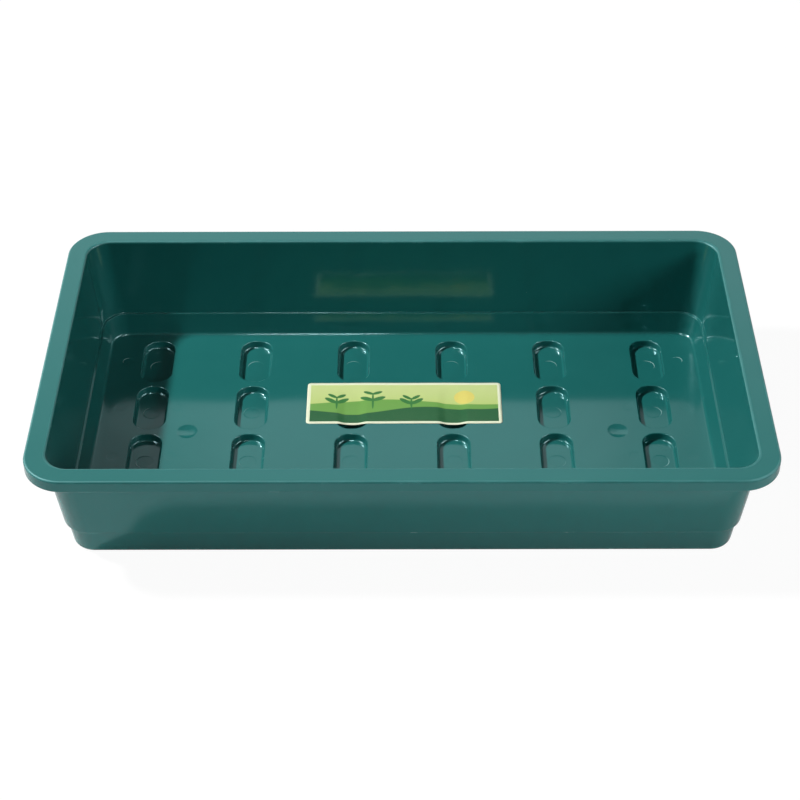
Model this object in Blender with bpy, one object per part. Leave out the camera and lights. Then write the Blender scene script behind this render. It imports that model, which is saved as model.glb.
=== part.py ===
"""Open seed tray, moulded in one piece, with a label stuck to its floor.

The tray stands on its base ring and on the undersides of the pockets sunk in its floor.
Its frame is in metres with +Z up: the long side runs along X, the front looks toward -Y,
and the origin is at the middle of the footprint, on the surface that the tray stands on.
Sections are drawn as (inset, depth): how far in from the rim's outer edge, and how far
down from the rim's top.
"""

from math import atan2, cos, hypot, pi, radians, sin, tan

import bmesh
import bpy
from mathutils import Vector

# Overall size of the rim
TRAY_LENGTH = 0.5600
TRAY_WIDTH = 0.3200
INSIDE_DEPTH = 0.0876
WALL = 0.0024

# Rim and its turned-down skirt
RIM_WIDTH = 0.0160
RIM_EDGE_RADIUS = 0.0025
RIM_INNER_RADIUS = 0.0020
SKIRT_HEIGHT = 0.0099
SKIRT_EDGE_RADIUS = 0.0008
RIM_CORNER_RADIUS = 0.0315

# Sloping sides, with a small ledge low down
SIDE_CORNER_RADIUS = 0.0190
UPPER_DRAFT = radians(6.15)
LOWER_DRAFT = radians(14.0)
LEDGE_DEPTH = 0.0690
LEDGE_WIDTH = 0.0018
LEDGE_FILLET = 0.0012
LEDGE_NOSE_RADIUS = 0.0005
LEDGE_OUTER_RADIUS = 0.0018
FLOOR_FILLET = 0.0025
BASE_DRAFT = radians(8.0)
BASE_EDGE_RADIUS = 0.0040

# Pockets sunk in the floor, whose undersides are the tray's feet
POCKET_LENGTH = 0.0545
POCKET_WIDTH = 0.0265
POCKET_CORNER_RADIUS = 0.0120
POCKET_DEPTH = 0.0060
FOOT_WALL = 0.0014
POCKET_WALL_RUN = 0.0026
POCKET_PITCH_X = 0.0832
POCKET_PITCH_Y = 0.0615
POCKET_MARGIN = 0.0050

# Round drill marks, sunk a little into the floor near its two ends
MARK_DIAMETER = 0.0174
MARK_DEPTH = 0.0008
MARK_SPACING = 0.3514

# Stuck-on label
LABEL_LENGTH = 0.1615
LABEL_HEIGHT = 0.0528
LABEL_THICKNESS = 0.0003
LABEL_CORNER_RADIUS = 0.0030
LABEL_SHIFT_X = 0.0015
LABEL_PAST_POCKET = 0.0057
LABEL_GAP = 0.0003

# How finely the arcs are cut
PLAN_CORNER_STEPS = 6
SECTION_STEPS = 3
POCKET_CORNER_STEPS = 3
MARK_SIDES = 24

TRAY_HEIGHT = INSIDE_DEPTH + POCKET_DEPTH + FOOT_WALL
FLOOR_Z = TRAY_HEIGHT - INSIDE_DEPTH


def clear_scene():
    for item in list(bpy.data.objects):
        bpy.data.objects.remove(item, do_unlink=True)


def make_material(name, colour, roughness, metallic=0.0):
    material = bpy.data.materials.new(name)
    material.use_nodes = True
    shader = material.node_tree.nodes["Principled BSDF"]
    shader.inputs["Base Color"].default_value = (*colour, 1.0)
    shader.inputs["Roughness"].default_value = roughness
    shader.inputs["Metallic"].default_value = metallic
    material.diffuse_color = (*colour, 1.0)
    return material


def add_object(name, bm, material=None):
    mesh = bpy.data.meshes.new(name)
    bmesh.ops.recalc_face_normals(bm, faces=bm.faces)
    bm.to_mesh(mesh)
    bm.free()
    if material:
        mesh.materials.append(material)
    item = bpy.data.objects.new(name, mesh)
    bpy.context.scene.collection.objects.link(item)
    return item


def rounded_rectangle(length, width, radius, z, steps, centre=(0.0, 0.0)):
    """Points anticlockwise round a rectangle with arcs at its corners."""
    points = []
    for quarter, (sx, sy) in enumerate(((1, 1), (-1, 1), (-1, -1), (1, -1))):
        cx = centre[0] + sx * (length / 2 - radius)
        cy = centre[1] + sy * (width / 2 - radius)
        for step in range(steps + 1):
            angle = (quarter + step / steps) * pi / 2
            points.append(Vector((cx + radius * cos(angle), cy + radius * sin(angle), z)))
    return points


def loft(bm, rings):
    """Skin a row of rings that hold as many points each, and close both ends."""
    loops = [[bm.verts.new(point) for point in ring] for ring in rings]
    for lower, upper in zip(loops, loops[1:]):
        for i in range(len(lower)):
            j = (i + 1) % len(lower)
            bm.faces.new((lower[i], lower[j], upper[j], upper[i]))
    bm.faces.new(loops[0])
    bm.faces.new(loops[-1])


def round_corners(corners, steps):
    """Replace each (inset, depth, radius) corner by an arc that touches both its sides."""
    path = []
    for before, corner, after in zip([corners[0]] + corners, corners, corners[1:] + [corners[-1]]):
        here = Vector(corner[:2])
        back = Vector(before[:2]) - here
        ahead = Vector(after[:2]) - here
        radius = corner[2]
        if radius == 0 or back.length == 0 or ahead.length == 0:
            path.append(here)
            continue
        half_angle = back.angle(ahead) / 2
        tangent = radius / tan(half_angle)
        centre = here + (back.normalized() + ahead.normalized()).normalized() * radius / sin(half_angle)
        start = here + back.normalized() * tangent - centre
        end = here + ahead.normalized() * tangent - centre
        turn = (atan2(end.y, end.x) - atan2(start.y, start.x) + pi) % (2 * pi) - pi
        first = atan2(start.y, start.x)
        for step in range(steps + 1):
            angle = first + turn * step / steps
            path.append(centre + radius * Vector((cos(angle), sin(angle))))
    return path


def upper_inset(depth):
    """Inside face of the upper side, at a depth."""
    return RIM_WIDTH + depth * tan(UPPER_DRAFT)


def lower_inset(depth):
    """Inside face of the band below the ledge, at a depth."""
    return upper_inset(LEDGE_DEPTH) + LEDGE_WIDTH + (depth - LEDGE_DEPTH) * tan(LOWER_DRAFT)


def top_section():
    """Rounded (inset, depth) points up the inside, over the rim and down the skirt."""
    corners = [
        (lower_inset(INSIDE_DEPTH) + 2 * FLOOR_FILLET, INSIDE_DEPTH, 0),
        (lower_inset(INSIDE_DEPTH), INSIDE_DEPTH, FLOOR_FILLET),
        (lower_inset(LEDGE_DEPTH), LEDGE_DEPTH, LEDGE_NOSE_RADIUS),
        (upper_inset(LEDGE_DEPTH), LEDGE_DEPTH, LEDGE_FILLET),
        (RIM_WIDTH, 0, RIM_INNER_RADIUS),
        (0, 0, RIM_EDGE_RADIUS),
        (0, SKIRT_HEIGHT, SKIRT_EDGE_RADIUS),
        (WALL, SKIRT_HEIGHT, 0),
    ]
    return round_corners(corners, SECTION_STEPS)


def under_section():
    """Rounded (inset, depth) points from inside the skirt, down the outside, to the floor's
    underside."""
    upper_skin = WALL / cos(UPPER_DRAFT)
    lower_skin = WALL / cos(LOWER_DRAFT)
    under_ledge = LEDGE_DEPTH + WALL
    under_floor = INSIDE_DEPTH + WALL
    outer_ledge = lower_inset(under_ledge) - lower_skin
    outer_base = outer_ledge + (TRAY_HEIGHT - under_ledge) * tan(BASE_DRAFT)
    corners = [
        (WALL, WALL, 0),
        (upper_inset(WALL) - upper_skin, WALL, 0),
        (upper_inset(under_ledge) - upper_skin, under_ledge, LEDGE_OUTER_RADIUS),
        (outer_ledge, under_ledge, 0),
        (outer_base, TRAY_HEIGHT, BASE_EDGE_RADIUS),
        (lower_inset(TRAY_HEIGHT), TRAY_HEIGHT, 0),
        (lower_inset(under_floor), under_floor, 0),
    ]
    return round_corners(corners, SECTION_STEPS)


def plan_corner_radius(inset, skin):
    """Corner radius of a ring that lies this skin outside the tray's inner face. The rim's
    corners share one centre, the upper sides keep one radius, and from the ledge inward the
    corners share one centre again."""
    past_ledge = max(0, inset + skin - lower_inset(LEDGE_DEPTH))
    return max(RIM_CORNER_RADIUS - inset, SIDE_CORNER_RADIUS + skin - past_ledge)


def tray_ring(point, skin=0.0):
    """The section's point carried round the tray."""
    inset, depth = point
    length = TRAY_LENGTH - 2 * inset
    width = TRAY_WIDTH - 2 * inset
    radius = plan_corner_radius(inset, skin)
    return rounded_rectangle(length, width, radius, TRAY_HEIGHT - depth, PLAN_CORNER_STEPS)


def centred_row(space, size, pitch):
    """Middles of as many copies at this pitch as the space holds, about zero."""
    count = max(1, int((space - size) / pitch) + 1)
    return [(i - (count - 1) / 2) * pitch for i in range(count)]


def pocket_columns():
    floor_length = TRAY_LENGTH - 2 * (lower_inset(INSIDE_DEPTH) + POCKET_MARGIN)
    return centred_row(floor_length, POCKET_WIDTH, POCKET_PITCH_X)


def pocket_rows():
    floor_width = TRAY_WIDTH - 2 * (lower_inset(INSIDE_DEPTH) + POCKET_MARGIN)
    return centred_row(floor_width, POCKET_LENGTH, POCKET_PITCH_Y)


def pocket_ring(centre, shrink, z):
    """The pocket's plan outline at the floor, drawn in on all sides by shrink."""
    return rounded_rectangle(
        POCKET_WIDTH - 2 * shrink,
        POCKET_LENGTH - 2 * shrink,
        POCKET_CORNER_RADIUS - shrink,
        z,
        POCKET_CORNER_STEPS,
        centre,
    )


def pocket_solids(name, skin):
    """One sloping plug for each pocket: the hollow itself, or with a skin its outside."""
    slope = POCKET_WALL_RUN / POCKET_DEPTH
    grow = skin * (hypot(POCKET_WALL_RUN, POCKET_DEPTH) - POCKET_WALL_RUN) / POCKET_DEPTH
    top_z = FLOOR_Z - WALL / 2 if skin else FLOOR_Z + WALL / 2
    bottom_z = 0.0 if skin else FLOOR_Z - POCKET_DEPTH
    bm = bmesh.new()
    for x in pocket_columns():
        for y in pocket_rows():
            rings = []
            for z in (bottom_z, top_z):
                shrink = (FLOOR_Z - skin - z) * slope - grow
                rings.append(pocket_ring((x, y), shrink, z))
            loft(bm, rings)
    return add_object(name, bm)


def mark_solids():
    bm = bmesh.new()
    for side in (-1, 1):
        mark = bmesh.ops.create_cone(
            bm,
            cap_ends=True,
            segments=MARK_SIDES,
            radius1=MARK_DIAMETER / 2,
            radius2=MARK_DIAMETER / 2,
            depth=2 * MARK_DEPTH,
        )
        place = Vector((side * MARK_SPACING / 2, 0, FLOOR_Z))
        bmesh.ops.translate(bm, vec=place, verts=mark["verts"])
    return add_object("mark_cutter", bm)


def combine(body, other, operation):
    """Join or cut with a helper solid that is left out of the model."""
    other.hide_render = True
    other.display_type = "WIRE"
    modifier = body.modifiers.new(other.name, "BOOLEAN")
    modifier.operation = operation
    modifier.solver = "EXACT"
    modifier.object = other


def make_tray():
    rings = [tray_ring(point) for point in top_section()]
    rings += [tray_ring(point, WALL) for point in under_section()]
    bm = bmesh.new()
    loft(bm, rings)
    green = make_material("green_polypropylene", (0.030, 0.160, 0.140), 0.25)
    tray = add_object("tray", bm, green)
    combine(tray, pocket_solids("foot_blocks", WALL), "UNION")
    combine(tray, pocket_solids("pocket_cutter", 0.0), "DIFFERENCE")
    combine(tray, mark_solids(), "DIFFERENCE")
    return tray


def label_place():
    """Behind the tray's middle, from just past the near ends of one row of pockets."""
    behind_middle = [y for y in pocket_rows() if y > 0] or [0.0]
    near_end = behind_middle[0] - POCKET_LENGTH / 2
    return LABEL_SHIFT_X, near_end + LABEL_PAST_POCKET + LABEL_HEIGHT / 2


def make_label():
    bottom_z = FLOOR_Z + LABEL_GAP
    rings = []
    for z in (bottom_z, bottom_z + LABEL_THICKNESS):
        rings.append(
            rounded_rectangle(
                LABEL_LENGTH, LABEL_HEIGHT, LABEL_CORNER_RADIUS, z, POCKET_CORNER_STEPS, label_place()
            )
        )
    bm = bmesh.new()
    loft(bm, rings)
    return add_object("label", bm, make_material("coated_paper", (0.620, 0.720, 0.300), 0.45))


clear_scene()
make_tray()
make_label()
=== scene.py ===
# %% [markdown]
# # A moulded seed tray and its stuck-on label
#
# The real object is one injection moulding: a flat rim with a turned-down skirt, sloping sides
# with a small ledge low down, and a floor with rows of sunk pockets. A printed label is stuck
# to the floor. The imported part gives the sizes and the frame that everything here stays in.

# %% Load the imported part
from math import atan2, cos, hypot, pi, radians, sin, tan

import bmesh
import bpy
from mathutils import Matrix, Vector, geometry


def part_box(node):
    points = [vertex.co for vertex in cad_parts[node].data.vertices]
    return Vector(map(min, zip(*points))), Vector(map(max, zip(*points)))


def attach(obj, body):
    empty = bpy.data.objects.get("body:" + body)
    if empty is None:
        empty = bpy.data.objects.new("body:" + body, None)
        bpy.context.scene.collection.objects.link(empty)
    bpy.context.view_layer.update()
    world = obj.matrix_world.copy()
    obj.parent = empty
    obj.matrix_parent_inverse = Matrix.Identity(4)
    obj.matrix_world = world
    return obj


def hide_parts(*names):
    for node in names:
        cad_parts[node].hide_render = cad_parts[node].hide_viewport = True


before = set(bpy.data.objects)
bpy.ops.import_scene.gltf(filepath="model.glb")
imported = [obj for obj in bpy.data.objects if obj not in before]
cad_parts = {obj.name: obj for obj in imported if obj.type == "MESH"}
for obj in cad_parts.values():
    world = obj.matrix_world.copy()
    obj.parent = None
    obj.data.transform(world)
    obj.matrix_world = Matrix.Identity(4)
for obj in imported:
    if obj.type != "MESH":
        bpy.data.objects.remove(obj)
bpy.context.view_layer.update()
tray_low, tray_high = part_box("tray")
label_low, label_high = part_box("label")
LENGTH, WIDTH, HEIGHT = tray_high - tray_low
print(f"tray: {LENGTH:.4f} x {WIDTH:.4f} x {HEIGHT:.4f} m")

# %% [markdown]
# ## Node trees written as formulas
#
# A node tree is easier to read as arithmetic than as a list of links. A Field wraps one socket,
# and adding or multiplying Fields adds the Math nodes for it. The same class serves the
# geometry trees that shape the tray and the shader trees that colour it.

# %% Fields and nodes
def feed(tree, socket, value):
    """Link a Field into a socket, or set the socket's own value."""
    if isinstance(value, Field):
        tree.links.new(value.socket, socket)
    else:
        socket.default_value = value


def add_node(tree, kind, inputs=None, **settings):
    node = tree.nodes.new(kind)
    for name, value in settings.items():
        setattr(node, name, value)
    for name, value in (inputs or {}).items():
        feed(tree, node.inputs[name], value)
    return node


class Field:
    """One socket of a node tree that takes part in arithmetic."""

    def __init__(self, tree, socket):
        self.tree = tree
        self.socket = socket

    def math(self, operation, *others):
        node = self.tree.nodes.new("ShaderNodeMath")
        node.operation = operation
        for socket, value in zip(node.inputs, (self, *others)):
            feed(self.tree, socket, value)
        return Field(self.tree, node.outputs[0])

    def __add__(self, other):
        return self.math("ADD", other)

    def __sub__(self, other):
        return self.math("SUBTRACT", other)

    def __mul__(self, other):
        return self.math("MULTIPLY", other)

    def __truediv__(self, other):
        return self.math("DIVIDE", other)

    def one_minus(self):
        return (self * -1.0) + 1.0


def pick(tree, node, name):
    return Field(tree, node.outputs[name])


def made(tree, kind, name, inputs=None, **settings):
    """The named output of a new node."""
    return pick(tree, add_node(tree, kind, inputs, **settings), name)


def join_vector(tree, **parts):
    """A vector from numbers named X, Y and Z. One that isn't given stays 0."""
    return made(tree, "ShaderNodeCombineXYZ", "Vector", parts)


def split_vector(tree, vector):
    node = add_node(tree, "ShaderNodeSeparateXYZ", {"Vector": vector})
    return [pick(tree, node, axis) for axis in "XYZ"]


def new_tree(name, kind, inputs, outputs):
    """An empty tree with named sockets. Gives the tree, its inputs as Fields, and its output node."""
    tree = bpy.data.node_groups.new(name, kind)
    for label, socket_type in inputs.items():
        tree.interface.new_socket(label, in_out="INPUT", socket_type=socket_type)
    for label, socket_type in outputs.items():
        tree.interface.new_socket(label, in_out="OUTPUT", socket_type=socket_type)
    entry = tree.nodes.new("NodeGroupInput")
    fields = {label: pick(tree, entry, label) for label in inputs}
    return tree, fields, tree.nodes.new("NodeGroupOutput")


# %% [markdown]
# ## The section of the wall
#
# Every part of the tray's side is one outline carried round a rounded rectangle. The outline is
# drawn as (inset, depth) corners: how far in from the rim's edge, and how far below its top.
# Each corner becomes an arc. A short flat step is kept on both sides of every arc, so that
# smooth shading stays inside the arc and the flat walls reflect as flat walls.

# %% Sizes of the section
WALL = 0.0024
RIM_WIDTH = 0.0160
RIM_EDGE_RADIUS = 0.0017
RIM_INNER_RADIUS = 0.0020
SKIRT_HEIGHT = 0.0099
SKIRT_EDGE_RADIUS = 0.0008
RIM_CORNER_RADIUS = 0.0315
SIDE_CORNER_RADIUS = 0.0190
UPPER_DRAFT = radians(6.15)
LOWER_DRAFT = radians(14.0)
LEDGE_DEPTH = 0.0690
LEDGE_WIDTH = 0.0018
LEDGE_FILLET = 0.0005
LEDGE_NOSE_RADIUS = 0.0003
LEDGE_OUTER_RADIUS = 0.0018
FLOOR_FILLET = 0.0025
BASE_DRAFT = radians(8.0)
BASE_EDGE_RADIUS = 0.0040
LABEL_GAP = 0.0003
FLOOR_Z = label_low.z - LABEL_GAP
INSIDE_DEPTH = HEIGHT - FLOOR_Z
FLAT_STEP = 0.00004
ARC_STEPS = 6
CORNER_STEPS = 14
SIDE_STEPS = 8
WELD_DISTANCE = 0.00001


# %% Rounded outlines
def round_corners(corners, steps, solid_side):
    """Turn (across, down, radius) corners into (across, down, bend) points. Bend is 1 on an arc
    that stands out of the plastic, -1 on an arc in a hollow, and 0 on the flats. The solid side
    is 1 where the plastic lies on the side that a growing angle turns to, and -1 otherwise."""
    path = []
    for before, corner, after in zip([corners[0]] + corners, corners, corners[1:] + [corners[-1]]):
        here = Vector(corner[:2])
        back = Vector(before[:2]) - here
        ahead = Vector(after[:2]) - here
        radius = corner[2]
        if radius == 0 or back.length == 0 or ahead.length == 0:
            path.append((here.x, here.y, 0.0))
            continue
        half_angle = back.angle(ahead) / 2
        tangent = radius / tan(half_angle)
        back.normalize()
        ahead.normalize()
        centre = here + (back + ahead).normalized() * radius / sin(half_angle)
        start = here + back * tangent - centre
        end = here + ahead * tangent - centre
        first = atan2(start.y, start.x)
        turn = (atan2(end.y, end.x) - first + pi) % (2 * pi) - pi
        bend = float(solid_side) if turn > 0 else -float(solid_side)
        flat = here + back * (tangent + FLAT_STEP)
        path.append((flat.x, flat.y, 0.0))
        for step in range(steps + 1):
            angle = first + turn * step / steps
            point = centre + radius * Vector((cos(angle), sin(angle)))
            path.append((point.x, point.y, bend))
        flat = here + ahead * (tangent + FLAT_STEP)
        path.append((flat.x, flat.y, 0.0))
    return path


def upper_inset(depth):
    """Inside face of the upper side, at a depth."""
    return RIM_WIDTH + depth * tan(UPPER_DRAFT)


def lower_inset(depth):
    """Inside face of the band below the ledge, at a depth."""
    return upper_inset(LEDGE_DEPTH) + LEDGE_WIDTH + (depth - LEDGE_DEPTH) * tan(LOWER_DRAFT)


def top_section():
    """From the floor up the inside, over the rim and down the skirt."""
    corners = [
        (lower_inset(INSIDE_DEPTH) + 2 * FLOOR_FILLET, INSIDE_DEPTH, 0),
        (lower_inset(INSIDE_DEPTH), INSIDE_DEPTH, FLOOR_FILLET),
        (lower_inset(LEDGE_DEPTH), LEDGE_DEPTH, LEDGE_NOSE_RADIUS),
        (upper_inset(LEDGE_DEPTH), LEDGE_DEPTH, LEDGE_FILLET),
        (RIM_WIDTH, 0, RIM_INNER_RADIUS),
        (0, 0, RIM_EDGE_RADIUS),
        (0, SKIRT_HEIGHT, SKIRT_EDGE_RADIUS),
        (WALL, SKIRT_HEIGHT, SKIRT_EDGE_RADIUS),
    ]
    return round_corners(corners + [(WALL, SKIRT_HEIGHT / 2, 0)], ARC_STEPS, -1)


def under_section():
    """From inside the skirt, down the outside and under the base to the floor's underside."""
    upper_skin = WALL / cos(UPPER_DRAFT)
    lower_skin = WALL / cos(LOWER_DRAFT)
    under_ledge = LEDGE_DEPTH + WALL
    under_floor = INSIDE_DEPTH + WALL
    outer_ledge = lower_inset(under_ledge) - lower_skin
    outer_base = outer_ledge + (HEIGHT - under_ledge) * tan(BASE_DRAFT)
    corners = [
        (WALL, WALL, SKIRT_EDGE_RADIUS),
        (upper_inset(WALL) - upper_skin, WALL, SKIRT_EDGE_RADIUS),
        (upper_inset(under_ledge) - upper_skin, under_ledge, LEDGE_OUTER_RADIUS),
        (outer_ledge, under_ledge, LEDGE_NOSE_RADIUS),
        (outer_base, HEIGHT, BASE_EDGE_RADIUS),
        (lower_inset(HEIGHT), HEIGHT, SKIRT_EDGE_RADIUS),
        (lower_inset(under_floor), under_floor, SKIRT_EDGE_RADIUS),
        (lower_inset(under_floor) + 2 * FLOOR_FILLET, under_floor, 0),
    ]
    return round_corners([(WALL, SKIRT_HEIGHT / 2, 0)] + corners, ARC_STEPS, -1)[1:]


def plan_corner_radius(inset, skin):
    """Corner radius, seen from above, of a ring that lies this skin outside the inner face."""
    past_ledge = max(0, inset + skin - lower_inset(LEDGE_DEPTH))
    return max(RIM_CORNER_RADIUS - inset, SIDE_CORNER_RADIUS + skin - past_ledge)


inside_points = [(x, y, b, plan_corner_radius(x, 0.0)) for x, y, b in top_section()]
outside_points = [(x, y, b, plan_corner_radius(x, WALL)) for x, y, b in under_section()]
section_points = inside_points + outside_points
print(f"section: {len(section_points)} points, inside depth {INSIDE_DEPTH:.4f} m")

# %% [markdown]
# ## Carrying the section round the tray
#
# A curve with a profile would sweep the section too, but it would turn every corner about one
# centre, and on the tray each level has a corner radius of its own. So the tree lays out a
# plain grid, with one row of points for each section point, and moves every point to its place
# on its own rounded rectangle.

# %% The section line
def make_mesh(name, points, edges, faces):
    mesh = bpy.data.meshes.new(name)
    mesh.from_pydata(points, edges, faces)
    return mesh


def add_numbers(mesh, name, values):
    """A named number on every point, which the trees and the materials can read."""
    attribute = mesh.attributes.new(name, "FLOAT", "POINT")
    attribute.data.foreach_set("value", values)


def section_line(points):
    edges = [(i, i + 1) for i in range(len(points) - 1)]
    mesh = make_mesh("section_line", [(x, 0.0, -y) for x, y, _, _ in points], edges, [])
    add_numbers(mesh, "bend", [bend for _, _, bend, _ in points])
    add_numbers(mesh, "corner_radius", [radius for _, _, _, radius in points])
    return mesh


# %% Tree: a section carried round a rounded rectangle
def named_number(tree, name):
    return made(tree, "GeometryNodeInputNamedAttribute", "Attribute", {"Name": name})


def own_position(tree):
    return made(tree, "GeometryNodeInputPosition", "Position")


def moved(tree, mesh, **how):
    """The mesh with its points at a new Position, or shifted by an Offset."""
    return made(tree, "GeometryNodeSetPosition", "Geometry", {"Geometry": mesh, **how})


def numbered(tree, mesh, name, value):
    """The mesh with a named number on each of its points."""
    inputs = {"Geometry": mesh, "Name": name, "Value": value}
    settings = {"data_type": "FLOAT", "domain": "POINT"}
    return made(tree, "GeometryNodeStoreNamedAttribute", "Geometry", inputs, **settings)


def welded(tree, mesh):
    inputs = {"Geometry": mesh, "Distance": WELD_DISTANCE}
    return made(tree, "GeometryNodeMergeByDistance", "Geometry", inputs)


def shape_tree(name, inputs):
    """An empty tree that puts out one mesh."""
    return new_tree(name, "GeometryNodeTree", inputs, {"Mesh": "NodeSocketGeometry"})


def sample(tree, geometry_field, value, index, data_type):
    inputs = {"Geometry": geometry_field, "Value": value, "Index": index}
    return made(tree, "GeometryNodeSampleIndex", "Value", inputs, data_type=data_type)


def place_on_ring(tree, size, quarter, turn):
    """Where a ring point lies: quarter counts the corners anticlockwise, and turn runs from 0
    to 1 round the arc."""
    middle = (quarter + 0.5) * (pi / 2)
    angle = (quarter + turn) * (pi / 2)
    spots = []
    for side, wave in ((size["length"], "COSINE"), (size["width"], "SINE")):
        reach = side * 0.5 - size["inset"] - size["radius"]
        spots.append(middle.math(wave).math("SIGN") * reach + angle.math(wave) * size["radius"])
    return spots


def blend(start, end, share):
    return start + (end - start) * share


SECTION_INPUTS = {
    "Section": "NodeSocketGeometry",
    "Length": "NodeSocketFloat",
    "Width": "NodeSocketFloat",
    "Top Height": "NodeSocketFloat",
    "Corner Steps": "NodeSocketInt",
    "Side Steps": "NodeSocketInt",
}


def section_round_tree():
    tree, given, output = shape_tree("Section round a rectangle", SECTION_INPUTS)
    section = {"Geometry": given["Section"]}
    points = made(tree, "GeometryNodeAttributeDomainSize", "Point Count", section)
    steps = given["Corner Steps"] + given["Side Steps"]
    grid = add_node(tree, "GeometryNodeMeshGrid", {"Vertices X": steps * 4.0 + 1.0, "Vertices Y": points})

    index = made(tree, "GeometryNodeInputIndex", "Index")
    ring_step = (index / points).math("FLOOR")
    along_section = index - ring_step * points
    quarter = (ring_step / steps).math("FLOOR")
    within = ring_step - quarter * steps
    turn = (within / given["Corner Steps"]).math("MINIMUM", 1.0)
    straight = ((within - given["Corner Steps"]) / given["Side Steps"]).math("MAXIMUM", 0.0)

    place = sample(tree, given["Section"], own_position(tree), along_section, "FLOAT_VECTOR")
    inset, _, height = split_vector(tree, place)
    radius = sample(tree, given["Section"], named_number(tree, "corner_radius"), along_section, "FLOAT")
    bend = sample(tree, given["Section"], named_number(tree, "bend"), along_section, "FLOAT")

    size = {"length": given["Length"], "width": given["Width"], "inset": inset, "radius": radius}
    start = place_on_ring(tree, size, quarter, turn)
    end = place_on_ring(tree, size, quarter + 1.0, 0.0)
    x = blend(start[0], end[0], straight)
    y = blend(start[1], end[1], straight)
    spot = join_vector(tree, X=x, Y=y, Z=height + given["Top Height"])
    carried = moved(tree, pick(tree, grid, "Mesh"), Position=spot)
    feed(tree, output.inputs["Mesh"], welded(tree, numbered(tree, carried, "bend", bend)))
    return tree


section_round = section_round_tree()
print(f"{section_round.name}: {len(section_round.nodes)} nodes")

# %% [markdown]
# ## What repeats on the floor
#
# The floor has the same few forms again and again: sunk pockets whose undersides are the feet,
# two dished marks, and the faint discs that the mould's ejector pins leave. Each form is drawn
# once, as rings stacked from its rim to its bottom, and a tree sets copies of it on a grid. A
# copy is open where it meets the floor, and a second tree closes the floor around the copies.
#
# In the pockets and corners a disc lies deeper on its outward side, and a pale arc painted along
# that edge stands in for its highlight. Named numbers say how far down its disc a point lies and to
# which side, and the tree tilts each copy by more the further out it stands and stores where the
# painted highlight goes. The other discs are level.

# %% Sizes of the floor's forms
POCKET_LENGTH = 0.0545
POCKET_WIDTH = 0.0265
POCKET_CORNER_RADIUS = 0.0120
POCKET_DEPTH = 0.0060
POCKET_DRAFT = radians(7.0)
POCKET_EDGE_RADIUS = 0.0008
POCKET_FILLET = 0.0020
POCKET_PITCH_X = 0.0832
POCKET_PITCH_Y = 0.0615
POCKET_COLUMNS = 6
POCKET_ROWS = 4
FOOT_FLOOR = HEIGHT - INSIDE_DEPTH - POCKET_DEPTH
PIN_RADIUS = 0.0073
PIN_STEP = 0.00003
PIN_TILT = 0.00036
PIN_EDGE = 0.00080
PIN_EDGE_STEPS = 6
# How bright the painted highlight on a tilted disc's outward edge is
PIN_HIGHLIGHT_STRENGTH = 8.5
SMALL_PIN_RADIUS = 0.0048
OUTER_PIN_SPACING = 0.4672
INNER_PIN_SPACING = 0.3740
MARK_RADIUS = 0.0087
MARK_DEPTH = 0.0008
MARK_SPACING = 0.3514
MARK_STEPS = 9
RING_CORNER_STEPS = 9


# %% Rings for the forms
def rounded_rectangle(half_x, half_y, radius, steps):
    """Points (x, y) anticlockwise round a rectangle with round corners."""
    points = []
    for quarter, (sx, sy) in enumerate(((1, 1), (-1, 1), (-1, -1), (1, -1))):
        for step in range(steps + 1):
            angle = (quarter + step / steps) * pi / 2
            x = sx * (half_x - radius) + radius * cos(angle)
            y = sy * (half_y - radius) + radius * sin(angle)
            points.append((x, y))
    return points


def pocket_ring(shrink, depth):
    """A pocket's outline, drawn in on all sides by shrink."""
    half_x = POCKET_WIDTH / 2 - shrink
    half_y = POCKET_LENGTH / 2 - shrink
    outline = rounded_rectangle(half_x, half_y, POCKET_CORNER_RADIUS - shrink, RING_CORNER_STEPS)
    return [(x, y, -depth) for x, y in outline]


def round_ring(radius, depth):
    count = 4 * (RING_CORNER_STEPS + 1)
    angles = [2 * pi * (i + 0.5) / count for i in range(count)]
    return [(radius * cos(angle), radius * sin(angle), -depth) for angle in angles]


def stack_rings(mesh_parts, rings, bends, pin_shares):
    """Add a skin through the rings to the lists of a mesh, closed at its last ring. The lists
    hold points, faces, each point's bend, and its share of the way down a pin's disc."""
    points, faces, point_bends, point_shares = mesh_parts
    count = len(rings[0])
    start = len(points)
    for ring, bend, pin_share in zip(rings, bends, pin_shares):
        points.extend(ring)
        point_bends.extend([bend] * count)
        point_shares.extend([pin_share] * count)
    for level in range(len(rings) - 1):
        low = start + level * count
        for i in range(count):
            j = (i + 1) % count
            faces.append((low + i, low + j, low + count + j, low + count + i))
    last = start + (len(rings) - 1) * count
    faces.append(tuple(range(last, last + count)))


def pin_rings(radius, depth):
    """Rings down the edge of the disc that an ejector pin leaves, and each ring's share of the
    way down."""
    rings = [round_ring(radius + FLAT_STEP, depth)]
    shares = [0.0]
    for step in range(PIN_EDGE_STEPS + 1):
        across = step / PIN_EDGE_STEPS
        share = across * across * (3 - 2 * across)
        rings.append(round_ring(radius - PIN_EDGE * across, depth + PIN_STEP * share))
        shares.append(share)
    rings.append(round_ring(radius - PIN_EDGE - FLAT_STEP, depth + PIN_STEP))
    return rings, shares + [1.0]


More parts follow.
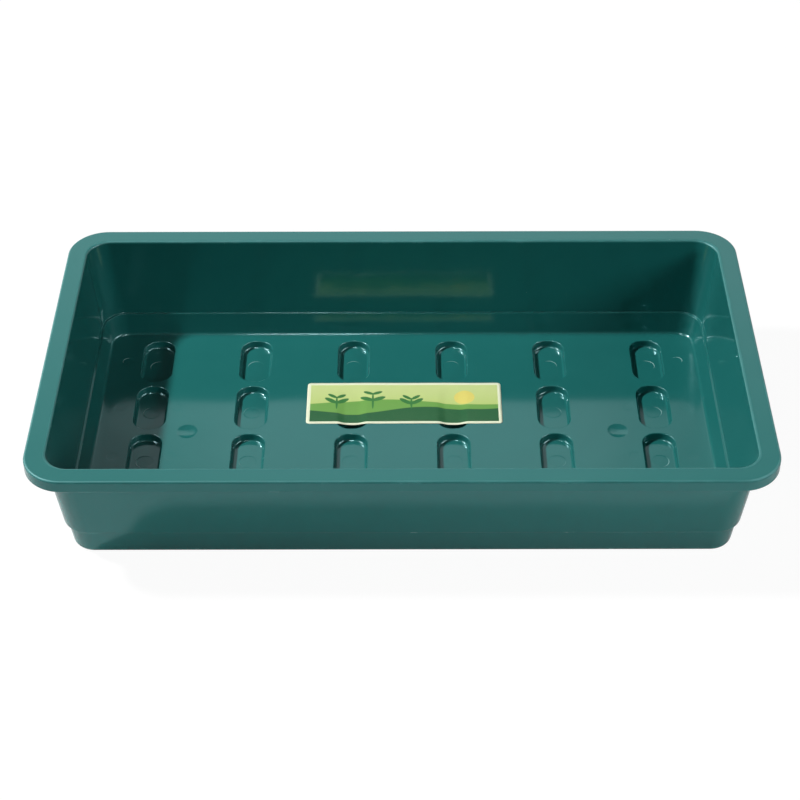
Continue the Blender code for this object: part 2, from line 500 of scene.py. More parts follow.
# %% A pocket with its foot
def pocket_form():
    parts = ([], [], [], [])
    wall_run = POCKET_DEPTH * tan(POCKET_DRAFT)
    inside = [
        (-POCKET_EDGE_RADIUS - FLAT_STEP, 0, 0),
        (0, 0, POCKET_EDGE_RADIUS),
        (wall_run, POCKET_DEPTH, POCKET_FILLET),
        (wall_run + POCKET_FILLET, POCKET_DEPTH, 0),
    ]
    inside = round_corners(inside, ARC_STEPS, 1)[:-1]
    pin, pin_shares = pin_rings(PIN_RADIUS, POCKET_DEPTH)
    bowl = [pocket_ring(across, down) for across, down, _ in inside]
    bends = [bend for _, _, bend in inside]
    stack_rings(parts, bowl + pin, bends + [0.0] * len(pin), [0.0] * len(bowl) + pin_shares)
    outside = [
        (-WALL - POCKET_EDGE_RADIUS, WALL, 0),
        (-WALL, WALL, POCKET_EDGE_RADIUS),
        (wall_run - WALL, POCKET_DEPTH + FOOT_FLOOR, POCKET_FILLET / 2),
        (wall_run, POCKET_DEPTH + FOOT_FLOOR, 0),
    ]
    outside = round_corners(outside, ARC_STEPS // 2, -1)
    rings = [pocket_ring(across, down) for across, down, _ in outside]
    stack_rings(parts, rings, [bend for _, _, bend in outside], [0.0] * len(rings))
    return parts


# %% Dished mark, small disc
def mark_form():
    parts = ([], [], [], [])
    rings = [round_ring(MARK_RADIUS + 2 * FLAT_STEP, 0), round_ring(MARK_RADIUS + FLAT_STEP, 0)]
    for step in range(MARK_STEPS):
        share = step / MARK_STEPS
        rings.append(round_ring(MARK_RADIUS * (1 - share), MARK_DEPTH * (1 - (1 - share) ** 2)))
    stack_rings(parts, rings, [0.0] * len(rings), [0.0] * len(rings))
    return parts


def small_pin_form(tilts):
    """A small pin's disc on the open floor. One that tilts lies deeper on its outward side."""
    parts = ([], [], [], [])
    rings, pin_shares = pin_rings(SMALL_PIN_RADIUS, 0.0)
    if not tilts:
        pin_shares = [0.0] * len(rings)
    stack_rings(parts, rings, [0.0] * len(rings), pin_shares)
    return parts


def form_object(name, parts):
    points, faces, bends, pin_shares = parts
    mesh = make_mesh(name, points, [], faces)
    add_numbers(mesh, "bend", bends)
    add_numbers(mesh, "pin_share", pin_shares)
    for axis, push_name in enumerate(("pin_x", "pin_y")):
        pushes = [p[axis] / hypot(p[0], p[1]) * share for p, share in zip(points, pin_shares)]
        add_numbers(mesh, push_name, pushes)
    form = bpy.data.objects.new(name, mesh)
    bpy.context.scene.collection.objects.link(form)
    print(f"{name}: {len(mesh.polygons)} faces")
    return form


pocket = form_object("pocket_form", pocket_form())
mark = form_object("mark_form", mark_form())
tilted_pin = form_object("tilted_pin_form", small_pin_form(True))
level_pin = form_object("level_pin_form", small_pin_form(False))


# %% Tree: copies of a form on a grid
FORM_INPUTS = {
    "Form": "NodeSocketObject",
    "Columns": "NodeSocketInt",
    "Rows": "NodeSocketInt",
    "Pitch X": "NodeSocketFloat",
    "Pitch Y": "NodeSocketFloat",
}


def grid_of_forms_tree():
    measures = ("Height", "Length", "Width", "Pin Tilt")
    inputs = FORM_INPUTS | {name: "NodeSocketFloat" for name in measures}
    tree, given, output = shape_tree("Grid of forms", inputs)
    sizes = {
        "Size X": (given["Columns"] - 1.0) * given["Pitch X"],
        "Size Y": (given["Rows"] - 1.0) * given["Pitch Y"],
        "Vertices X": given["Columns"],
        "Vertices Y": given["Rows"],
    }
    grid = add_node(tree, "GeometryNodeMeshGrid", sizes)
    spots = moved(tree, pick(tree, grid, "Mesh"), Offset=join_vector(tree, Z=given["Height"]))
    form = add_node(tree, "GeometryNodeObjectInfo", {"Object": given["Form"]})
    instances = {"Points": spots, "Instance": pick(tree, form, "Geometry")}
    copies = made(tree, "GeometryNodeInstanceOnPoints", "Instances", instances)
    real = made(tree, "GeometryNodeRealizeInstances", "Geometry", {"Geometry": copies})

    # How far out a point lies, as a share of the tray's length and width
    x, y, _ = split_vector(tree, own_position(tree))
    off_x = x / given["Length"]
    off_y = y / given["Width"]
    off_middle = (off_x * off_x + off_y * off_y).math("SQRT")
    outward = named_number(tree, "pin_x") * off_x + named_number(tree, "pin_y") * off_y
    sunk = (outward + named_number(tree, "pin_share") * off_middle) * given["Pin Tilt"] * -0.5
    tilted = moved(tree, real, Offset=join_vector(tree, Z=sunk))
    # Painted highlight: a pale arc, brightest halfway down the disc's outward edge
    burr = outward * named_number(tree, "pin_share").one_minus() * PIN_HIGHLIGHT_STRENGTH
    feed(tree, output.inputs["Mesh"], numbered(tree, tilted, "burr", burr))
    return tree


grid_of_forms = grid_of_forms_tree()
print(f"{grid_of_forms.name}: {len(grid_of_forms.nodes)} nodes")


# %% Tree: a level face that closes every open loop at one height
def level_face_tree():
    inputs = {"Mesh": "NodeSocketGeometry", "Height": "NodeSocketFloat"}
    tree, given, output = shape_tree("Level face", inputs)
    faces = made(tree, "GeometryNodeInputMeshEdgeNeighbors", "Face Count")
    height = split_vector(tree, own_position(tree))[2]
    open_edge = faces.math("COMPARE", 1.0, 0.5)
    at_level = height.math("COMPARE", given["Height"], WALL / 4)
    chosen = {"Mesh": given["Mesh"], "Selection": open_edge * at_level}
    loops = made(tree, "GeometryNodeMeshToCurve", "Curve", chosen)
    filled = made(tree, "GeometryNodeFillCurve", "Mesh", {"Curve": loops})
    level = moved(tree, filled, Offset=join_vector(tree, Z=given["Height"]))
    feed(tree, output.inputs["Mesh"], level)
    return tree


level_face = level_face_tree()
print(f"{level_face.name}: {len(level_face.nodes)} nodes")

# %% [markdown]
# ## The whole moulding in one tree
#
# The tray's tree joins the carried section, the grids of forms and the two level faces, welds
# them into one closed skin, and gives it its material. Its inputs are the sizes and counts, and
# each is set by its socket's identifier before the object is first evaluated.

# %% Tree: the tray
FORM_SETS = {
    "Pocket": (pocket, POCKET_COLUMNS, POCKET_ROWS, POCKET_PITCH_X, POCKET_PITCH_Y),
    "Mark": (mark, 2, 1, MARK_SPACING, 0.0),
    "Corner Pin": (tilted_pin, 2, 2, OUTER_PIN_SPACING, POCKET_PITCH_Y * (POCKET_ROWS - 1)),
    "Outer Pin": (level_pin, 2, POCKET_ROWS - 2, OUTER_PIN_SPACING, POCKET_PITCH_Y),
    "Inner Pin": (level_pin, 2, POCKET_ROWS - 2, INNER_PIN_SPACING, POCKET_PITCH_Y),
}


def nested(tree, group, inputs):
    return made(tree, "GeometryNodeGroup", "Mesh", inputs, node_tree=group)


def join(tree, parts):
    node = tree.nodes.new("GeometryNodeJoinGeometry")
    for part in parts:
        tree.links.new(part.socket, node.inputs["Geometry"])
    return pick(tree, node, "Geometry")


def tray_tree():
    inputs = SECTION_INPUTS | {
        "Floor Height": "NodeSocketFloat",
        "Wall": "NodeSocketFloat",
        "Pin Tilt": "NodeSocketFloat",
        "Material": "NodeSocketMaterial",
    }
    for name in FORM_SETS:
        for key, kind in FORM_INPUTS.items():
            inputs[f"{name} {key}"] = kind
    tree, given, output = shape_tree("Moulded tray", inputs)
    tree.is_modifier = True
    parts = [nested(tree, section_round, {key: given[key] for key in SECTION_INPUTS})]
    for name in FORM_SETS:
        fields = {key: given[f"{name} {key}"] for key in FORM_INPUTS}
        fields["Height"] = given["Floor Height"]
        fields.update({key: given[key] for key in ("Length", "Width", "Pin Tilt")})
        parts.append(nested(tree, grid_of_forms, fields))
    open_skin = join(tree, parts)
    floor = nested(tree, level_face, {"Mesh": open_skin, "Height": given["Floor Height"]})
    underside_height = given["Floor Height"] - given["Wall"]
    underside = nested(tree, level_face, {"Mesh": open_skin, "Height": underside_height})
    skin = welded(tree, join(tree, [open_skin, floor, underside]))
    real = made(tree, "GeometryNodeRealizeInstances", "Geometry", {"Geometry": skin})
    finish = {"Geometry": real, "Material": given["Material"]}
    finished = made(tree, "GeometryNodeSetMaterial", "Geometry", finish)
    feed(tree, output.inputs["Mesh"], finished)
    return tree


moulded_tray = tray_tree()
print(f"{moulded_tray.name}: {len(moulded_tray.nodes)} nodes")

# %% [markdown]
# ## From tree to plain mesh
#
# The tray is evaluated once and kept as a plain mesh. The sharp edges are all real arcs, so
# every face can be shaded smooth.

# %% The tray's object
def fill_inputs(modifier, tree, values):
    """Set a modifier's inputs by the identifiers of its tree's sockets."""
    for item in tree.interface.items_tree:
        if item.in_out == "INPUT" and item.name in values:
            modifier[item.identifier] = values[item.name]


def shaped_by_tree(name, start_mesh, tree, values):
    """A piece whose mesh is what the tree makes from the start mesh and the values."""
    holder = bpy.data.objects.new(f"{name}_tree", start_mesh)
    bpy.context.scene.collection.objects.link(holder)
    modifier = holder.modifiers.new("Shape", "NODES")
    modifier.node_group = tree
    fill_inputs(modifier, tree, values)
    holder.update_tag()
    evaluated = holder.evaluated_get(bpy.context.evaluated_depsgraph_get())
    mesh = bpy.data.meshes.new_from_object(evaluated)
    mesh.name = name
    bpy.data.objects.remove(holder)
    return add_piece(name, mesh)


def add_piece(name, mesh):
    """Turn a piece's faces outward, count its open edges and shade it smooth."""
    work = bmesh.new()
    work.from_mesh(mesh)
    bmesh.ops.recalc_face_normals(work, faces=work.faces)
    open_edges = sum(1 for edge in work.edges if not edge.is_manifold)
    work.to_mesh(mesh)
    work.free()
    mesh.polygons.foreach_set("use_smooth", [True] * len(mesh.polygons))
    mesh.calc_loop_triangles()
    piece = bpy.data.objects.new(name, mesh)
    bpy.context.scene.collection.objects.link(piece)
    print(f"{name}: {len(mesh.loop_triangles)} triangles, {open_edges} open edges")
    return piece


# %% [markdown]
# ## Shared surface effects
#
# The trees below put out only masks and heights, and each material decides what to do with
# them. Real moulded plastic is never a perfect mirror: it waves a little over the wide faces,
# carries a fine skin, and gathers dust and hairline scratches.

# %% Shader helpers
def colour_of(red, green, blue):
    """A colour given as it looks on screen, from 0 to 255, as the linear numbers that shaders use."""
    linear = []
    for value in (red, green, blue):
        share = value / 255
        linear.append(share / 12.92 if share <= 0.04045 else ((share + 0.055) / 1.055) ** 2.4)
    return (*linear, 1.0)


def texture_place(tree, vector, scale, turn=(0.0, 0.0, 0.0), shift=(0.0, 0.0, 0.0)):
    inputs = {"Vector": vector, "Location": shift, "Rotation": turn, "Scale": scale}
    return made(tree, "ShaderNodeMapping", "Vector", inputs)


def noise(tree, vector, scale, detail=2.0, roughness=0.5):
    inputs = {"Vector": vector, "Scale": scale, "Detail": detail, "Roughness": roughness}
    return made(tree, "ShaderNodeTexNoise", "Fac", inputs)


def step_between(tree, value, low, high, to_low=0.0, to_high=1.0):
    """Ease a value from to_low to to_high as it crosses from low to high."""
    inputs = {"Value": value, "From Min": low, "From Max": high, "To Min": to_low, "To Max": to_high}
    return made(tree, "ShaderNodeMapRange", "Result", inputs, interpolation_type="SMOOTHSTEP")


def mix_colours(tree, share, first, second):
    node = add_node(tree, "ShaderNodeMix", data_type="RGBA")
    sockets = {socket.identifier: socket for socket in (*node.inputs, *node.outputs)}
    feed(tree, sockets["Factor_Float"], share)
    feed(tree, sockets["A_Color"], first)
    feed(tree, sockets["B_Color"], second)
    return Field(tree, sockets["Result_Color"])


# %% Group: dust
def dust_group():
    """Small specks, each of its own size, with most cells left clean."""
    inputs = {"Vector": "NodeSocketVector", "Cell Count": "NodeSocketFloat", "Size": "NodeSocketFloat"}
    tree, given, output = new_tree("Dust", "ShaderNodeTree", inputs, {"Mask": "NodeSocketFloat"})
    cell_inputs = {"Vector": given["Vector"], "Scale": given["Cell Count"]}
    cells = add_node(tree, "ShaderNodeTexVoronoi", cell_inputs)
    chance = split_vector(tree, pick(tree, cells, "Color"))
    size = given["Size"] * step_between(tree, chance[0], 0.55, 1.0)
    mask = step_between(tree, pick(tree, cells, "Distance") - size, -0.03, 0.0, 1.0, 0.0)
    feed(tree, output.inputs["Mask"], mask * chance[0].math("GREATER_THAN", 0.6))
    return tree


# %% Group: moulded skin
def moulded_skin_group():
    """Height of the plastic's waves and fine skin, and where hairline scratches run."""
    inputs = {"Vector": "NodeSocketVector"}
    outputs = {"Height": "NodeSocketFloat", "Scratch": "NodeSocketFloat", "Patch": "NodeSocketFloat"}
    tree, given, output = new_tree("Moulded skin", "ShaderNodeTree", inputs, outputs)
    waves = noise(tree, given["Vector"], 16.0, 1.0)
    skin = noise(tree, given["Vector"], 420.0, 2.0)
    height = waves + skin * 0.02
    patch = noise(tree, given["Vector"], 34.0, 4.0, 0.6)
    scratch = None
    for angle, seed in ((0.35, 0.7), (1.9, 3.1)):
        lines = texture_place(
            tree, given["Vector"], (900.0, 14.0, 60.0), (0.0, 0.0, angle), (seed, seed, 0.0)
        )
        one = step_between(tree, noise(tree, lines, 1.0, 0.0), 0.79, 0.82)
        scratch = one if scratch is None else scratch.math("MAXIMUM", one)
    scratch = scratch * step_between(tree, patch, 0.52, 0.60)
    feed(tree, output.inputs["Height"], height)
    feed(tree, output.inputs["Scratch"], scratch)
    feed(tree, output.inputs["Patch"], patch)
    return tree


dust = dust_group()
moulded_skin = moulded_skin_group()
print(f"shared effects: {dust.name}, {moulded_skin.name}")


# %% Material helpers
def new_material(name):
    material = bpy.data.materials.new(name)
    material.use_nodes = True
    tree = material.node_tree
    shader = tree.nodes["Principled BSDF"]
    where = made(tree, "ShaderNodeTexCoord", "Object")
    return material, tree, shader, where


def add_bump(tree, shader, height, distance):
    node = add_node(tree, "ShaderNodeBump", {"Height": height, "Distance": distance})
    tree.links.new(node.outputs["Normal"], shader.inputs["Normal"])


def point_number(tree, name):
    """A named number of the mesh, read by a material."""
    return made(tree, "ShaderNodeAttribute", "Fac", attribute_name=name)


# %% [markdown]
# ## Green plastic
#
# The tray is glossy green polypropylene. Roughness carries most of its detail: duller patches,
# edges and rim, hairlines and specks of dust. The colour flows only slightly from place to
# place, but the rim's top is painted lighter as a painted sheen, and the pin discs carry painted
# highlights. A tinted specular and a rough coat give the soft bloom that this plastic has.

# %% Green plastic
RIM_FADE_FROM = 0.0012
RIM_FADE_TO = 0.0004
DEEP_GREEN = (0.0085, 0.146, 0.136, 1.0)
PALE_GREEN = (0.0110, 0.158, 0.147, 1.0)
# Lighter green painted on the rim's top, a painted sheen
RIM_SHEEN_GREEN = (0.0120, 0.175, 0.163, 1.0)
WORN_GREEN = (0.05, 0.26, 0.25, 1.0)
# Colour of the painted highlight arcs on the pin discs
PIN_HIGHLIGHT_GREEN = (0.42, 0.70, 0.68, 1.0)
SCRATCH_GREY = (0.35, 0.5, 0.5, 1.0)
DUST_GREY = (0.75, 0.78, 0.78, 1.0)


def green_plastic():
    material, tree, shader, where = new_material("glossy green plastic")
    skin = add_node(tree, "ShaderNodeGroup", {"Vector": where}, node_tree=moulded_skin)
    specks_inputs = {"Vector": where, "Cell Count": 75.0, "Size": 0.035}
    specks = made(tree, "ShaderNodeGroup", "Mask", specks_inputs, node_tree=dust)
    patch = pick(tree, skin, "Patch")
    scratch = pick(tree, skin, "Scratch")

    # Standing edges wear in patches, the pin discs get painted highlights, and the rim is the dullest
    edge = point_number(tree, "bend").math("MAXIMUM", 0.0)
    worn = edge * step_between(tree, patch, 0.45, 0.7)
    painted_pin_highlight = step_between(tree, point_number(tree, "burr"), 0.30, 0.75)
    height = split_vector(tree, where)[2]
    rim = step_between(tree, height, HEIGHT - RIM_FADE_FROM, HEIGHT - RIM_FADE_TO)

    flow = noise(tree, texture_place(tree, where, (3.0, 5.0, 9.0)), 1.0, 3.0)
    tone = step_between(tree, flow * 0.6 + patch * 0.4, 0.3, 0.7)
    colour = mix_colours(tree, tone, DEEP_GREEN, PALE_GREEN)
    # Painted sheen: the rim's top is painted a lighter green
    colour = mix_colours(tree, rim * 0.5, colour, RIM_SHEEN_GREEN)
    colour = mix_colours(tree, worn * 0.25, colour, WORN_GREEN)
    # Painted highlight: pale arcs on the outward edges of the tilted pin discs
    colour = mix_colours(tree, painted_pin_highlight * 0.8, colour, PIN_HIGHLIGHT_GREEN)
    colour = mix_colours(tree, scratch * 0.015, colour, SCRATCH_GREY)
    colour = mix_colours(tree, specks * 0.45, colour, DUST_GREY)
    feed(tree, shader.inputs["Base Color"], colour)

    roughness = patch * 0.05 + edge * 0.08 + worn * 0.10 + specks * 0.4 + scratch * 0.06 + 0.085
    roughness = roughness + rim * (edge * 0.22 + 0.07) + painted_pin_highlight * 0.2
    feed(tree, shader.inputs["Roughness"], roughness)
    gloss = {"IOR": 1.6, "Specular Tint": (0.55, 0.95, 1.0, 1.0)}
    coat = {"Coat Weight": 0.2, "Coat Roughness": 0.65, "Coat IOR": 1.4}
    for name, value in (gloss | coat).items():
        shader.inputs[name].default_value = value
    add_bump(tree, shader, pick(tree, skin, "Height") + specks * 0.25, 0.0003)
    return material


green = green_plastic()
print(f"{green.name}: {len(green.node_tree.nodes)} nodes")

# %% [markdown]
# ## The tray
#
# All the tree's inputs are filled here, from the sizes above and from the frame.

# %% Shape the tray
def tray_values():
    values = {
        "Length": LENGTH,
        "Width": WIDTH,
        "Top Height": HEIGHT,
        "Corner Steps": CORNER_STEPS,
        "Side Steps": SIDE_STEPS,
        "Floor Height": FLOOR_Z,
        "Wall": WALL,
        "Pin Tilt": PIN_TILT,
        "Material": green,
    }
    for name, form_set in FORM_SETS.items():
        for key, value in zip(FORM_INPUTS, form_set):
            values[f"{name} {key}"] = value
    return values


tray = shaped_by_tree("seed_tray", section_line(section_points), moulded_tray, tray_values())
for form in (pocket, mark, tilted_pin, level_pin):
    bpy.data.objects.remove(form)
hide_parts("tray")
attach(tray, "root")

# %% [markdown]
# ## The label
#
# A printed paper label is stuck to the floor behind the middle and covers most of two pockets.
# Paper over a hole sags, so the sheet dips there, most of all along its near edge. Its heights
# follow a formula, which is exact where a cloth simulation would only come near. The print is a
# plain garden pattern: young plants on hills.

# %% Sizes of the label
LABEL_CENTRE = (label_low + label_high) / 2
LABEL_LENGTH = label_high.x - label_low.x
LABEL_WIDTH = label_high.y - label_low.y
LABEL_CORNER_RADIUS = 0.0030
LABEL_CORNER_STEPS = 6
LABEL_CELL = 0.0016
INSIDE_OUTLINE = 1
SAME_PLACE = 0.0001
SHEET_THICKNESS = 0.00016
SHEET_LIFT = 0.00005
RIPPLE_HEIGHT = 0.00025
SAG_REACH = 0.0080
SAG_DEPTH = 0.0019
FAR_EDGE_SAG = 0.2
print(f"label: {LABEL_LENGTH:.4f} x {LABEL_WIDTH:.4f} m")


# %% The label's sheet
def label_outline():
    half_sizes = (LABEL_LENGTH / 2, LABEL_WIDTH / 2)
    around = rounded_rectangle(*half_sizes, LABEL_CORNER_RADIUS, LABEL_CORNER_STEPS)
    points = [Vector((LABEL_CENTRE.x + x, LABEL_CENTRE.y + y)) for x, y in around]
    outline = []
    for start, end in zip(points, points[1:] + points[:1]):
        count = max(1, round((end - start).length / LABEL_CELL))
        outline += [start.lerp(end, i / count) for i in range(count)]
    return outline


def label_grid_points():
    columns = int(LABEL_LENGTH / LABEL_CELL)
    rows = int(LABEL_WIDTH / LABEL_CELL)
    xs = [label_low.x + LABEL_LENGTH * i / columns for i in range(1, columns)]
    ys = [label_low.y + LABEL_WIDTH * j / rows for j in range(1, rows)]
    return [Vector((x, y)) for x in xs for y in ys]


def label_sheet():
    """Points and triangles that fill the outline."""
    outline = label_outline()
    edges = [(i, (i + 1) % len(outline)) for i in range(len(outline))]
    points = outline + label_grid_points()
    net = geometry.delaunay_2d_cdt(points, edges, [], INSIDE_OUTLINE, SAME_PLACE)
    return net[0], net[2]


def depth_into_pocket(x, y, column):
    """How far a place lies inside a pocket's outline; negative outside it."""
    centre_x = (column - (POCKET_COLUMNS - 1) / 2) * POCKET_PITCH_X
    past_x = abs(x - centre_x) - POCKET_WIDTH / 2 + POCKET_CORNER_RADIUS
    past_y = abs(y - POCKET_PITCH_Y / 2) - POCKET_LENGTH / 2 + POCKET_CORNER_RADIUS
    return POCKET_CORNER_RADIUS - hypot(max(past_x, 0), max(past_y, 0)) - min(max(past_x, past_y), 0)


def sag_at(x, y):
    """How far the sheet hangs into the pockets it covers, from 0 to 1, most at its near edge."""
    inside = max(depth_into_pocket(x, y, column) for column in range(POCKET_COLUMNS))
    share = min(1, max(0, inside / SAG_REACH))
    from_near_edge = (y - label_low.y) / LABEL_WIDTH
    return share * share * (3 - 2 * share) * (1 - (1 - FAR_EDGE_SAG) * from_near_edge)


def ripple_at(x, y):
    """A gentle swell of the paper, from 0 to 1."""
    return 0.5 + 0.5 * sin(x * 71 + 0.4) * sin(y * 97 + x * 23)


# %% The label's mesh
def label_mesh():
    """The sheet's top and underside, and a side face along each edge that only one face uses."""
    flat, faces = label_sheet()
    count = len(flat)
    top = []
    bottom = []
    for point in flat:
        low = FLOOR_Z + SHEET_LIFT + RIPPLE_HEIGHT * ripple_at(*point) - SAG_DEPTH * sag_at(*point)
        top.append((point.x, point.y, low + SHEET_THICKNESS))
        bottom.append((point.x, point.y, low))
    used = {}
    for face in faces:
        for a, b in zip(face, face[1:] + face[:1]):
            used[(a, b)] = used.get((a, b), 0) + 1
    rim = [(a, b) for a, b in used if (b, a) not in used]
    under = [tuple(count + i for i in reversed(face)) for face in faces]
    sides = [(b, a, count + a, count + b) for a, b in rim]
    return make_mesh("printed_label", top + bottom, [], [tuple(face) for face in faces] + under + sides)


# %% Printed pattern
LABEL_BORDER = 0.0030
PRINT_BLUR = 0.0002


def ellipse(tree, x, y, centre, size, turn=0.0, softness=0.06):
    """1 inside an ellipse at centre, with half lengths size, turned by an angle."""
    dx = x - centre[0]
    dy = y - centre[1]
    u = (dx * cos(turn) + dy * sin(turn)) / size[0]
    v = (dy * cos(turn) - dx * sin(turn)) / size[1]
    reach = (u * u + v * v).math("SQRT")
    return step_between(tree, reach, 1 - softness, 1 + softness, 1.0, 0.0)


def plant(tree, x, y, foot, height, lean):
    """A stem with two pairs of leaves."""
    stem = ellipse(tree, x, y, (foot[0], foot[1] + height / 2), (0.0009, height / 2))
    shape = stem
    for level, reach in ((0.55, 0.0060), (0.95, 0.0045)):
        for side in (-1, 1):
            centre = (foot[0] + side * reach * 0.8, foot[1] + height * level + reach * 0.35)
            leaf = ellipse(tree, x, y, centre, (reach, reach * 0.36), side * (0.5 + lean))
            shape = shape.math("MAXIMUM", leaf)
    return shape


def printed_paper():
    material, tree, shader, where = new_material("printed label paper")
    to_middle = (-LABEL_CENTRE.x, -LABEL_CENTRE.y, 0.0)
    x, y, _ = split_vector(tree, texture_place(tree, where, (1.0, 1.0, 1.0), shift=to_middle))
    half_length = LABEL_LENGTH / 2
    half_width = LABEL_WIDTH / 2
    fibre = noise(tree, where, 900.0, 3.0)
    blot = noise(tree, where, 60.0, 3.0)

    rise = step_between(tree, y, -half_width, half_width)
    sky = mix_colours(tree, rise, colour_of(190, 214, 110), colour_of(216, 232, 156))
    hill_line = (x * 62.0 + 0.8).math("SINE") * 0.0026 + (x * 21.0).math("SINE") * 0.0030 - 0.0085
    hill = step_between(tree, y - hill_line, -PRINT_BLUR, PRINT_BLUR, 1.0, 0.0)
    far_line = (x * 38.0 + 2.2).math("SINE") * 0.0034 + 0.0012
    far_hill = step_between(tree, y - far_line, -PRINT_BLUR, PRINT_BLUR, 1.0, 0.0)
    print_colour = mix_colours(tree, far_hill, sky, colour_of(120, 176, 84))
    print_colour = mix_colours(tree, hill, print_colour, colour_of(40, 104, 62))
    growth = None
    for place, height, lean in ((-0.056, 0.016, 0.1), (-0.026, 0.020, -0.1), (0.006, 0.014, 0.15)):
        one = plant(tree, x, y, (place, -0.0075), height, lean)
        growth = one if growth is None else growth.math("MAXIMUM", one)
    print_colour = mix_colours(tree, growth, print_colour, colour_of(58, 132, 66))
    sun = ellipse(tree, x, y, (0.050, 0.0075), (0.0085, 0.0085))
    print_colour = mix_colours(tree, sun, print_colour, colour_of(240, 226, 120))
    border = None
    for along, half in ((x, half_length), (y, half_width)):
        inner = half - LABEL_BORDER
        one = step_between(tree, along.math("ABSOLUTE"), inner, inner + 1.5 * PRINT_BLUR)
        border = one if border is None else border.math("MAXIMUM", one)
    paper = mix_colours(tree, border, print_colour, colour_of(250, 255, 224))
    shade = step_between(tree, fibre * 0.5 + blot * 0.5, 0.3, 0.7)
    paper = mix_colours(tree, shade * 0.05, paper, (0.30, 0.36, 0.22, 1.0))
    feed(tree, shader.inputs["Base Color"], paper)
    feed(tree, shader.inputs["Roughness"], blot * 0.12 + border * 0.08 + 0.30)
    shader.inputs["IOR"].default_value = 1.45
    add_bump(tree, shader, fibre + blot * 2.0, 0.00004)
    return material


# %% Shape the label
label = add_piece("printed_label", label_mesh())
label.data.materials.append(printed_paper())
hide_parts("label")
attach(label, "root")

# %% [markdown]
# ## Light
#
# A key lamp far off to the left is small for its distance, so the left side throws a crisp
# shadow on the floor. A low lamp to the right of the front fills that shadow, and little of its
# light gets over the front side into the pockets. Four soft lamps show only in reflections.
# They hang where the arcs of the rim and the pockets send the eye, and draw bright lines there.
#
# The pale room gives the rest of the gloss: white behind the tray up to about 45 degrees, dark
# above that and dim in front, so each slope mirrors a brightness of its own.

# %% Lamps
KEY_DIRECTION = Vector((-0.617, 0.150, 0.778)).normalized()
SHADOW_POINT = Vector((-0.1985, 0.0, FLOOR_Z))
FLOOR_MIDDLE = Vector((0.0, 0.0, FLOOR_Z))


def add_lamp(name, place, size, brightness, diffuse=True, mirrored=True):
    """A lamp that faces the Y axis above the floor, size along Y first. At the floor's middle it
    makes white paint look as bright as this. One that isn't diffuse makes highlights alone, and
    one that isn't mirrored makes none."""
    reach = place - FLOOR_MIDDLE
    facing = Vector((reach.x, 0.0, reach.z)).normalized()
    slant = reach.normalized().z * reach.normalized().dot(facing)
    data = bpy.data.lights.new(name, "AREA")
    data.shape = "ELLIPSE"
    data.size, data.size_y = size
    data.energy = brightness * pi * pi * reach.length_squared / slant
    lamp = bpy.data.objects.new(name, data)
    along = Vector((0.0, 1.0, 0.0))
    turn = Matrix((along, facing.cross(along), facing)).transposed()
    lamp.matrix_world = Matrix.Translation(place) @ turn.to_4x4()
    lamp.visible_diffuse = diffuse
    lamp.visible_glossy = mirrored
    bpy.context.scene.collection.objects.link(lamp)
    print(f"{name}: {data.energy:.1f} W")


add_lamp("key lamp", SHADOW_POINT + KEY_DIRECTION * 4.0, (0.48, 0.26), 0.77)
add_lamp("low fill lamp", Vector((1.15, -0.95, 0.64)), (0.60, 0.45), 0.098, mirrored=False)
add_lamp("front highlight lamp", Vector((1.10, -0.72, 1.00)), (0.45, 0.45), 0.17, diffuse=False)
add_lamp("overhead lamp", Vector((-0.134, -0.05, 1.40)), (0.15, 0.22), 0.25, diffuse=False)
add_lamp("left highlight lamp", Vector((-1.11, 0.05, 1.40)), (1.00, 0.34), 0.50, diffuse=False)
add_lamp("right highlight lamp", Vector((1.30, -0.02, 1.24)), (1.00, 0.34), 0.40, diffuse=False)


# %% Room light
ROOM_LOW = 1.09
ROOM_HIGH = 0.05
ROOM_FRONT = 0.12
LEFT_PANEL = 1.8
RIGHT_PANEL = 0.3
DULL_SHARE = 0.06


def room_light():
    world = bpy.data.worlds.new("pale room")
    bpy.context.scene.world = world
    world.use_nodes = True
    tree = world.node_tree
    tree.nodes.clear()
    direction = made(tree, "ShaderNodeTexCoord", "Generated")
    across, behind, height = split_vector(tree, direction)
    off_side = across.math("ABSOLUTE")
    path = tree.nodes.new("ShaderNodeLightPath")
    seen = pick(tree, path, "Is Camera Ray")
    glossy = pick(tree, path, "Is Glossy Ray")

    # White low down and dark above, and far dimmer in front than behind
    low = step_between(tree, height, 0.69, 0.73, ROOM_LOW, ROOM_HIGH)
    back = step_between(tree, behind, -0.3, 0.3, ROOM_FRONT, 1.0)
    # Off the middle the white part dims lower down, and well off it lower again
    side = step_between(tree, off_side, 0.08, 0.15) * step_between(tree, height, 0.60, 0.64)
    wide = step_between(tree, off_side, 0.21, 0.30) * step_between(tree, height, 0.40, 0.50)
    # Two low panels, a bright one at the left and a dim one at the right
    left_panel = step_between(tree, across, -0.5, -0.3, LEFT_PANEL, 0.0)
    right_panel = step_between(tree, across, 0.3, 0.5, 0.0, RIGHT_PANEL)
    panels = (left_panel + right_panel) * step_between(tree, height, 0.36, 0.44, 1.0, 0.0)
    mirrored = low * back * (wide * -0.88 + 1.0) * (side * -0.5 + 1.0) + panels * back

    # The camera sees plain white, reflections show the room, and dull colours get little of it
    unseen = glossy * mirrored + glossy.one_minus() * DULL_SHARE
    strength = seen + seen.one_minus() * unseen
    light = {"Color": (1.0, 1.0, 1.0, 1.0), "Strength": strength}
    background = add_node(tree, "ShaderNodeBackground", light)
    output = tree.nodes.new("ShaderNodeOutputWorld")
    tree.links.new(background.outputs["Background"], output.inputs["Surface"])


room_light()

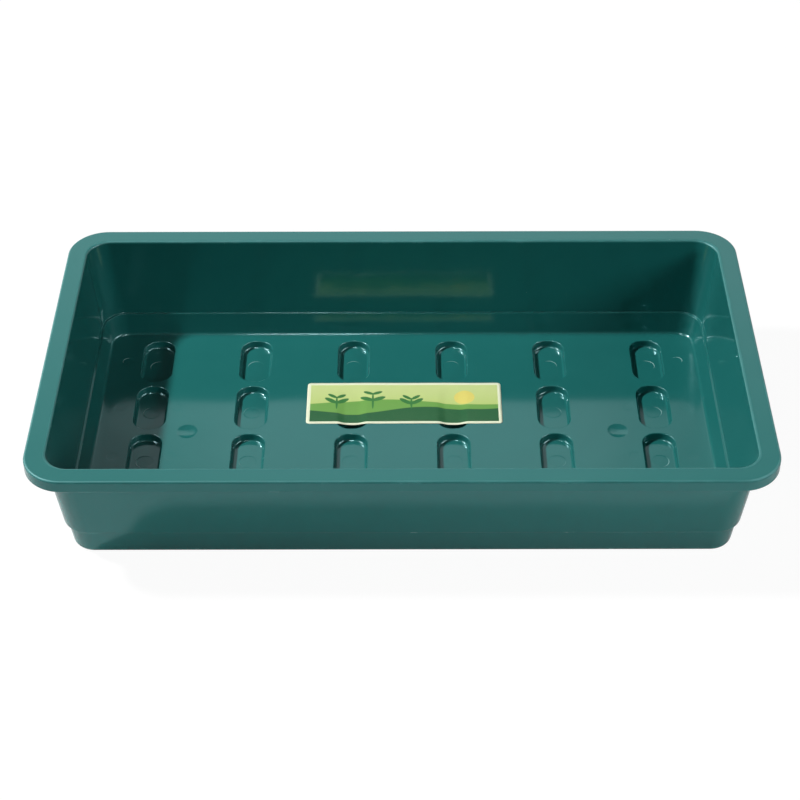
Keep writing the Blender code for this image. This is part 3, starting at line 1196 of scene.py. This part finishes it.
# %% [markdown]
# ## Floor and camera
#
# The floor is plain and pale. It partly shines by itself: mostly for the camera, so that it
# comes out white with a trace of the tray's shadow, and less in the plastic's reflections, where
# the right shines more than the left. The camera's place, angle and lens come from a fit to
# the photographed edges.

# %% Floor
FLOOR_REACH = 4.0
FLOOR_GLOW = 1.04
SHINE_TO_CAMERA = 0.91
SHINE_AT_LEFT = 0.19
SHINE_AT_RIGHT = 0.36


def pale_floor():
    material = bpy.data.materials.new("pale floor")
    material.use_nodes = True
    tree = material.node_tree
    tree.nodes.clear()
    path = tree.nodes.new("ShaderNodeLightPath")
    white = (1.0, 1.0, 1.0, 1.0)
    glow = add_node(tree, "ShaderNodeEmission", {"Color": white, "Strength": FLOOR_GLOW})
    paint = add_node(tree, "ShaderNodeBsdfDiffuse", {"Color": (0.85, 0.85, 0.85, 1.0)})
    across = split_vector(tree, made(tree, "ShaderNodeTexCoord", "Object"))[0]
    mirrored = step_between(tree, across, -0.2, 0.4, SHINE_AT_LEFT, SHINE_AT_RIGHT)
    seen = pick(tree, path, "Is Camera Ray") * SHINE_TO_CAMERA
    mix = add_node(tree, "ShaderNodeMixShader", {0: seen + pick(tree, path, "Is Glossy Ray") * mirrored})
    tree.links.new(paint.outputs[0], mix.inputs[1])
    tree.links.new(glow.outputs[0], mix.inputs[2])
    output = tree.nodes.new("ShaderNodeOutputMaterial")
    tree.links.new(mix.outputs[0], output.inputs["Surface"])
    return material


corners = [(x * FLOOR_REACH, y * FLOOR_REACH, 0.0) for x, y in ((-1, -1), (1, -1), (1, 1), (-1, 1))]
floor_mesh = make_mesh("studio_floor", corners, [], [(0, 1, 2, 3)])
floor_mesh.materials.append(pale_floor())
studio_floor = bpy.data.objects.new("studio_floor", floor_mesh)
bpy.context.scene.collection.objects.link(studio_floor)

# %% Camera
CAMERA_PLACE = Vector((0.00416, -1.23832, 0.96720 + HEIGHT))
CAMERA_PITCH = radians(39.531)
CAMERA_YAW = radians(-0.275)
CAMERA_ROLL = radians(-0.286)
FOCAL_PIXELS = 1992.7
IMAGE_PIXELS = 800
SENSOR_WIDTH = 36.0


def add_camera():
    ahead = Vector((sin(CAMERA_YAW), cos(CAMERA_YAW), 0.0))
    forward = ahead * cos(CAMERA_PITCH) - Vector((0.0, 0.0, sin(CAMERA_PITCH)))
    right = Vector((cos(CAMERA_YAW), -sin(CAMERA_YAW), 0.0))
    up = right.cross(forward)
    rolled_right = right * cos(CAMERA_ROLL) + up * sin(CAMERA_ROLL)
    rolled_up = up * cos(CAMERA_ROLL) - right * sin(CAMERA_ROLL)
    data = bpy.data.cameras.new("camera")
    data.sensor_width = SENSOR_WIDTH
    data.lens = SENSOR_WIDTH * FOCAL_PIXELS / IMAGE_PIXELS
    camera = bpy.data.objects.new("camera", data)
    turn = Matrix((rolled_right, rolled_up, -forward)).transposed()
    camera.matrix_world = Matrix.Translation(CAMERA_PLACE) @ turn.to_4x4()
    bpy.context.scene.collection.objects.link(camera)
    bpy.context.scene.camera = camera


add_camera()
bpy.context.scene.view_settings.view_transform = "Standard"
